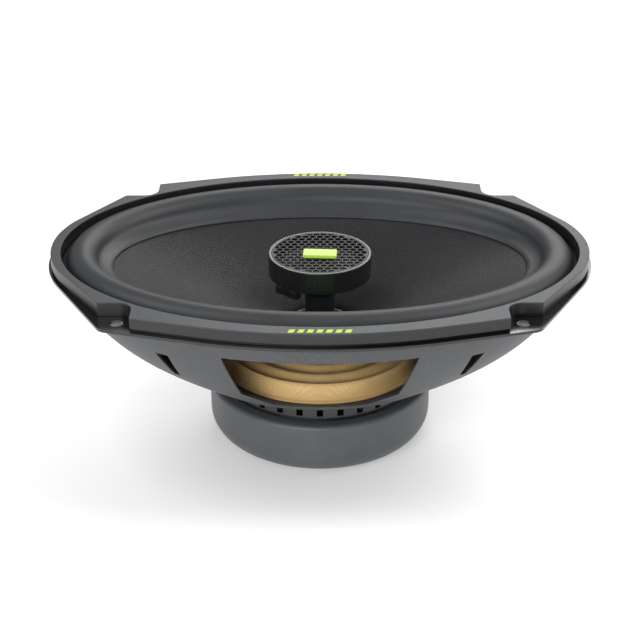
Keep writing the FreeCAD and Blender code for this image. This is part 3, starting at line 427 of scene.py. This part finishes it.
# --- Spider ------------------------------------------------------------------------------------
# Amber cloth pressed hot with resin: a glued foot, a plain cup wall and three round waves.
SPIDER_FOOT = -44.9 * MM
spider_hoops = [(46.4 * MM, SPIDER_FOOT), (45.0 * MM, SPIDER_FOOT), (44.4 * MM, SPIDER_FOOT + 0.5 * MM)]
spider_hoops += [(44.0 * MM, -42.6 * MM), (43.6 * MM, -40.0 * MM)]
WAVES = 3.25
WAVE_STEPS = 40
WAVE_OUTER = 43.2
WAVE_SPAN = 27.9
WAVE_MIDDLE = -38.6
WAVE_HEIGHT = 1.25
for step in range(WAVE_STEPS + 1):
    share = step / WAVE_STEPS
    radius = (WAVE_OUTER - WAVE_SPAN * share) * MM
    rise = (WAVE_MIDDLE + WAVE_HEIGHT * math.cos(2 * math.pi * WAVES * share)) * MM
    spider_hoops.append((radius, rise))
spider_hoops.append((14.95 * MM, -37.2 * MM))
spider = hoop_stack("amber_spider", [(r, r, 0.0, z) for r, z in spider_hoops], 192, 0.55 * MM)
stretch_between(spider, Vector((30, 30)) * MM, 13.0 * MM, -14.8 * MM)
amber = Finish("spider_cloth", (0.55, 0.34, 0.13), 0.62, Sheen_Weight=0.15, Sheen_Roughness=0.4)
CLOTH = 0.55 * MM
cross = [amber.node("Math", {"operation": "SINE"}, {0: amber.axis(way) * (math.pi / CLOTH)})
         for way in ("X", "Y", "Z")]
mesh_cloth = amber.node("Math", {"operation": "ABSOLUTE"}, {0: cross[0] * cross[1] + cross[2] * 0.5})
stain = amber.noise(9 * MM, 4.0)
amber_shade = amber.mix(stain, (0.66, 0.42, 0.15), (0.90, 0.66, 0.32))
# The weave's troughs are painted darker: painted shade. The two ambers between them follow a random stain.
amber.set("Base Color", amber.mix(mesh_cloth * 0.5 + 0.4, (0.42, 0.23, 0.07), amber_shade))
amber.set("Roughness", 0.52 + 0.2 * stain)
amber.relief(mesh_cloth + stain * 0.5, 0.08 * MM)
amber.dress(spider)
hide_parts("spider")

# --- Magnet boot -------------------------------------------------------------------------------
# Soft rubber cover over the motor, slightly mottled where it was handled.
boot = refined("magnet_boot", "rubber_boot", 0.3 * MM)
cover = Finish("boot_rubber", (0.055, 0.059, 0.064), 0.44)
mottle = cover.noise(14 * MM, 4.0)
scuff = cover.ramp(cover.noise(5 * MM, 6.0, (1, 1, 4)), 0.62, 0.75)
boot_shade = cover.mix(mottle, (0.052, 0.057, 0.062), (0.088, 0.095, 0.102))
cover.set("Base Color", cover.mix(scuff * 0.35, boot_shade, (0.11, 0.115, 0.12)))
cover.set("Roughness", 0.36 + 0.16 * mottle + 0.14 * scuff)
cover.relief(cover.noise(0.5 * MM, 3.0), 0.03 * MM)
cover.dress(boot)
settle(boot, "frame", "magnet_boot")

# --- Tweeter shells ----------------------------------------------------------------------------
# Gloss black mouldings: the cup and its bevelled lower shell with the lead lug; the stem is a rougher black
# moulding.
gloss_black = Finish("gloss_moulding", (0.008, 0.0085, 0.0095), 0.26)
haze = gloss_black.noise(6 * MM, 4.0)
hairline = gloss_black.ramp(gloss_black.noise(1.2 * MM, 5.0, (1, 1, 8)), 0.6, 0.75)
gloss_black.set("Base Color", gloss_black.mix(haze, (0.006, 0.006, 0.007), (0.013, 0.0135, 0.015)))
gloss_black.set("Roughness", 0.22 + 0.12 * haze + 0.12 * hairline)
gloss_black.relief(gloss_black.noise(1.5 * MM, 3.0), 0.02 * MM)
housing = refined("tweeter_housing", "tweeter_cup", 0.35 * MM, segments=3)
base = refined("tweeter_base", "tweeter_lower_shell", 0.5 * MM, segments=3)
post = refined("tweeter_post", "tweeter_column", 0.4 * MM, segments=3)
gloss_black.dress(housing, base)
settle(housing, "frame", "tweeter_housing")
settle(base, "frame", "tweeter_base")

column = Finish("column_moulding", (0.012, 0.0125, 0.0135), 0.5)
column_grain = column.noise(0.6 * MM, 3.0)
column.set("Base Color", column.mix(column_grain, (0.009, 0.0095, 0.01), (0.02, 0.021, 0.023)))
column.set("Roughness", 0.42 + 0.18 * column_grain)
column.relief(column_grain, 0.03 * MM)
column.dress(post)
settle(post, "frame", "tweeter_post")

# --- Grille ------------------------------------------------------------------------------------
# Stamped steel honeycomb in satin black, the webs slightly rounded by the paint.
grille = refined("tweeter_grille", "honeycomb_grille", 0.1 * MM)
mesh_paint = Finish("grille_paint", (0.01, 0.0105, 0.012), 0.4, Specular_IOR_Level=0.35)
mesh_grain = mesh_paint.noise(0.5 * MM, 3.0)
mesh_paint.set("Base Color", mesh_paint.mix(mesh_grain, (0.006, 0.0065, 0.007), (0.016, 0.017, 0.019)))
mesh_paint.set("Roughness", 0.34 + 0.2 * mesh_grain)
mesh_paint.relief(mesh_grain, 0.02 * MM)
mesh_paint.dress(grille)
settle(grille, "frame", "tweeter_grille")

# --- Badge and printed marks -------------------------------------------------------------------
# A plain lime plate on the grille, and plain slanted bars printed on the ring and on the cone.
badge_low, badge_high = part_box("tweeter_badge")
badge_build = bmesh.new()
bmesh.ops.create_cube(badge_build, size=1.0)
badge_size = badge_high - badge_low
BADGE_CORNER = 0.7 * MM
BADGE_EDGE = 0.3 * MM
BADGE_TURN = math.radians(-3.5)
bmesh.ops.scale(badge_build, verts=badge_build.verts, vec=badge_size)
upright = [seam for seam in badge_build.edges
           if abs(seam.verts[0].co.z - seam.verts[1].co.z) > MM]
bmesh.ops.bevel(
    badge_build, geom=upright, offset=BADGE_CORNER, offset_type="OFFSET", segments=5,
    profile=0.5, affect="EDGES", material=-1)
top_rim = [seam for seam in badge_build.edges
           if all(vert.co.z > badge_size.z * 0.49 for vert in seam.verts)]
bmesh.ops.bevel(
    badge_build, geom=top_rim, offset=BADGE_EDGE, offset_type="OFFSET", segments=3,
    profile=0.5, affect="EDGES", material=-1)
badge_spin = Matrix.Rotation(BADGE_TURN, 3, "Z")
bmesh.ops.rotate(badge_build, verts=badge_build.verts, matrix=badge_spin)
bmesh.ops.translate(badge_build, verts=badge_build.verts, vec=(badge_low + badge_high) / 2)
badge = add_object("lime_badge", mesh_from(badge_build, "lime_badge"))
lime = Finish("lime_enamel", (0.46, 0.79, 0.07), 0.3)
lime_cloud = lime.noise(4 * MM, 4.0)
lime.set("Base Color", lime.mix(lime_cloud, (0.42, 0.74, 0.055), (0.50, 0.84, 0.09)))
lime.set("Roughness", 0.24 + 0.16 * lime_cloud)
lime.relief(lime_cloud, 0.02 * MM)
lime.dress(badge)
settle(badge, "frame", "tweeter_badge")


BAR_SHARE = 0.62
BAR_SLANT = 0.3


def printed_bars(name, centre, length, height, count, over):
    """Slanted bars of ink in a row along X, laid on whatever surface lies under them."""
    build = bmesh.new()
    pitch = length / count
    for place in range(count):
        grid = bmesh.ops.create_grid(build, x_segments=4, y_segments=6, size=0.5)["verts"]
        bmesh.ops.scale(build, verts=grid, vec=(BAR_SHARE * pitch, height, 1))
        bmesh.ops.translate(build, verts=grid, vec=(pitch * (place + 0.5) - length / 2, 0, 0))
        for vert in grid:
            vert.co.x += BAR_SLANT * vert.co.y
    bmesh.ops.translate(build, verts=build.verts, vec=(*centre, 0))
    for vert in build.verts:
        vert.co.z = over(vert.co.x, vert.co.y)
    piece = add_object(name, mesh_from(build, name))
    ink = piece.modifiers.new("ink", "SOLIDIFY")
    ink.thickness = 0.05 * MM
    ink.offset = 1.0
    return piece


ring_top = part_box("trim_ring")[1].z
ring_ink = Finish("ring_ink", (0.5, 0.7, 0.06), 0.45)
ring_wear = ring_ink.ramp(ring_ink.noise(0.6 * MM, 5.0), 0.35, 0.6)
ring_ink.set("Base Color", ring_ink.mix(ring_wear, (0.38, 0.54, 0.015), (0.54, 0.74, 0.02)))
ring_ink.set("Roughness", 0.38 + 0.2 * ring_wear)
RING_BARS_Y = 81.2 * MM
RING_BARS_LENGTH = 26 * MM
RING_BARS_TALL = 2.6 * MM
RING_BARS_COUNT = 7
for side, word in ((1, "back"), (-1, "front")):
    bars = printed_bars(
        "ring_bars_" + word, (0, side * RING_BARS_Y), RING_BARS_LENGTH, RING_BARS_TALL,
        RING_BARS_COUNT, lambda x, y: ring_top + 0.02 * MM)
    ring_ink.dress(bars)
    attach(bars, "frame")
cone_ink = Finish("cone_ink", (0.22, 0.6, 0.03), 0.5)
cone_wear = cone_ink.ramp(cone_ink.noise(0.8 * MM, 5.0), 0.3, 0.62)
cone_ink.set("Base Color", cone_ink.mix(cone_wear, (0.12, 0.36, 0.015), (0.24, 0.68, 0.03)))
cone_ink.set("Roughness", 0.42 + 0.2 * cone_wear)
CONE_BARS_LENGTH = 36 * MM
cone_rows = (("wide", -43.2 * MM, 6.0 * MM, 5), ("narrow", -48.4 * MM, 1.5 * MM, 12))
for word, y, tall, count in cone_rows:
    bars = printed_bars(
        "cone_bars_" + word, (0, y), CONE_BARS_LENGTH, tall, count,
        lambda x, y: cone_height(x, y) + 0.06 * MM)
    cone_ink.dress(bars)
    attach(bars, "cone_assembly")

# --- Tweeter diaphragm and motor ---------------------------------------------------------------
# Coated silk dome on its carrier ring, over the small magnet in its steel pot.
silk = Finish("coated_silk", (0.11, 0.11, 0.108), 0.5, Sheen_Weight=0.1)
silk_grain = silk.noise(0.4 * MM, 3.0)
silk.set("Base Color", silk.mix(silk_grain, (0.08, 0.08, 0.078), (0.15, 0.15, 0.145)))
silk.set("Roughness", 0.42 + 0.2 * silk_grain)
silk.relief(silk_grain, 0.03 * MM)
dome = refined("tweeter_dome", "silk_dome", 0.02 * MM)
silk.dress(dome)
settle(dome, "tweeter_diaphragm", "tweeter_dome")
silk.coat_node("tweeter_suspension")
column.coat_node("tweeter_carrier")

steel = Finish("turned_steel", (0.5, 0.5, 0.52), 0.34, Metallic=1.0)
turned_mark = steel.noise(0.5 * MM, 4.0, (1, 1, 6))
steel.set("Base Color", steel.mix(turned_mark, (0.36, 0.36, 0.38), (0.62, 0.62, 0.64)))
steel.set("Roughness", 0.26 + 0.2 * turned_mark)
steel.relief(turned_mark, 0.02 * MM)
steel.coat_node("top_plate", "yoke", "basket_rivets", "post_nut", "tweeter_yoke", "tweeter_plate",
                "tweeter_magnet")

ferrite = Finish("ground_ferrite", (0.05, 0.05, 0.055), 0.6)
ground = ferrite.noise(0.7 * MM, 5.0)
ferrite.set("Base Color", ferrite.mix(ground, (0.035, 0.035, 0.04), (0.08, 0.08, 0.085)))
ferrite.set("Roughness", 0.5 + 0.25 * ground)
ferrite.relief(ground, 0.05 * MM)
ferrite.coat_node("ferrite_magnet")

# --- Voice coil and former ---------------------------------------------------------------------
# Aluminium tube with the copper winding at its lower end; its top edge shows at the cone's neck.
former = refined("voice_coil_former", "coil_former", 0.1 * MM)
foil = Finish("former_foil", (0.42, 0.40, 0.37), 0.38, Metallic=0.7)
rolled = foil.noise(0.8 * MM, 4.0, (1, 1, 0.2))
foil.set("Base Color", foil.mix(rolled, (0.30, 0.285, 0.26), (0.5, 0.48, 0.45)))
foil.set("Roughness", 0.32 + 0.2 * rolled)
foil.relief(rolled, 0.02 * MM)
foil.dress(former)
settle(former, "cone_assembly", "voice_coil_former")

copper = Finish("copper_winding", (0.6, 0.26, 0.09), 0.3, Metallic=1.0)
WIRE = 0.3 * MM
wind = copper.node("Math", {"operation": "SINE"}, {0: copper.axis("Z") * (2 * math.pi / WIRE)})
copper.set("Base Color", copper.mix(wind * 0.5 + 0.5, (0.32, 0.11, 0.035), (0.7, 0.33, 0.13)))
copper.set("Roughness", 0.28 + 0.1 * copper.noise(1.5 * MM, 3.0))
copper.relief(wind, 0.06 * MM)
copper.coat_node("voice_coil", "tweeter_coil")

# --- Terminals, capacitor and leads ------------------------------------------------------------
# Fibre board with tinned brass blades, a sleeved capacitor, braided leads and insulated wires.
# The braided leads flex: fixed at the board, carried by the cone at their other end.
board = refined("terminal_board", "fibre_board", 0.15 * MM)
fibre = Finish("fibre_board", (0.22, 0.11, 0.045), 0.55)
strand = fibre.noise(1.2 * MM, 6.0, (1, 5, 1))
fibre.set("Base Color", fibre.mix(strand, (0.13, 0.06, 0.025), (0.30, 0.165, 0.07)))
fibre.set("Roughness", 0.45 + 0.2 * strand)
fibre.relief(strand, 0.05 * MM)
fibre.dress(board)
settle(board, "frame", "terminal_board")

tinned = Finish("tinned_brass", (0.72, 0.62, 0.42), 0.28, Metallic=1.0)
brushed = tinned.noise(0.5 * MM, 5.0, (6, 1, 6))
tinned.set("Base Color", tinned.mix(brushed, (0.55, 0.44, 0.24), (0.8, 0.72, 0.52)))
tinned.set("Roughness", 0.22 + 0.2 * brushed)
tinned.relief(brushed, 0.015 * MM)
for node in ("positive_terminal", "negative_terminal", "terminal_rivets"):
    part = refined(node, node + "_metal", 0.12 * MM)
    tinned.dress(part)
    settle(part, "frame", node)

sleeve = Finish("capacitor_sleeve", (0.02, 0.03, 0.09), 0.3, Coat_Weight=0.3)
can_end = sleeve.node("Math", {"operation": "ABSOLUTE"}, {0: sleeve.axis("X")}) > 9.2 * MM
shrink = sleeve.noise(2.0 * MM, 4.0)
sleeve.set("Base Color", sleeve.mix(can_end, sleeve.mix(shrink, (0.012, 0.02, 0.07), (0.03, 0.045, 0.12)),
                                    (0.45, 0.45, 0.46)))
sleeve.set("Roughness", 0.26 + 0.16 * shrink)
sleeve.relief(shrink, 0.06 * MM)
capacitor = refined("tweeter_capacitor", "capacitor_can", 0.5 * MM, segments=4)
sleeve.dress(capacitor)
settle(capacitor, "frame", "tweeter_capacitor")

braid = Finish("tinsel_braid", (0.55, 0.34, 0.2), 0.4, Metallic=0.8)
BRAID = 0.5 * MM
lay = []
for side in (1, -1):
    strand_line = braid.axis("Y") + side * braid.axis("Z")
    lay.append(braid.node("Math", {"operation": "SINE"}, {0: strand_line * (math.pi / BRAID)}))
plait = lay[0] * lay[1]
braid.set("Base Color", braid.mix(plait * 0.5 + 0.5, (0.30, 0.15, 0.08), (0.72, 0.5, 0.34)))
braid.set("Roughness", 0.36 + 0.1 * plait)
braid.relief(plait, 0.1 * MM)
BOARD_END = Vector((0.0, 46.0, -27.0)) * MM
CONE_END = Vector((0.0, 28.5, -27.0)) * MM
for node in ("positive_tinsel_lead", "negative_tinsel_lead"):
    flex = refined(node, node + "_braid", 0.05 * MM)
    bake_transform(flex, "frame", "cone_assembly", start=BOARD_END, end=CONE_END)
    braid.dress(flex)
    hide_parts(node)

insulation = Finish("lead_insulation", (0.012, 0.012, 0.013), 0.4)
skin = insulation.noise(0.8 * MM, 3.0)
insulation.set("Base Color", insulation.mix(skin, (0.009, 0.009, 0.01), (0.022, 0.022, 0.024)))
insulation.set("Roughness", 0.34 + 0.2 * skin)
insulation.relief(skin, 0.03 * MM)
insulation.coat_node("tweeter_leads")

# --- Table finish ------------------------------------------------------------------------------
# Matt white laminate with the faintest unevenness.
laminate = Finish("white_laminate", (0.86, 0.86, 0.86), 0.6)
laminate.set("Base Color", laminate.mix(laminate.noise(0.5, 2.0), (0.85, 0.85, 0.85), (0.88, 0.88, 0.88)))
laminate.set("Emission Color", (1.0, 1.0, 1.0, 1.0))
laminate.set("Emission Strength", 0.22)
laminate.dress(table_top)
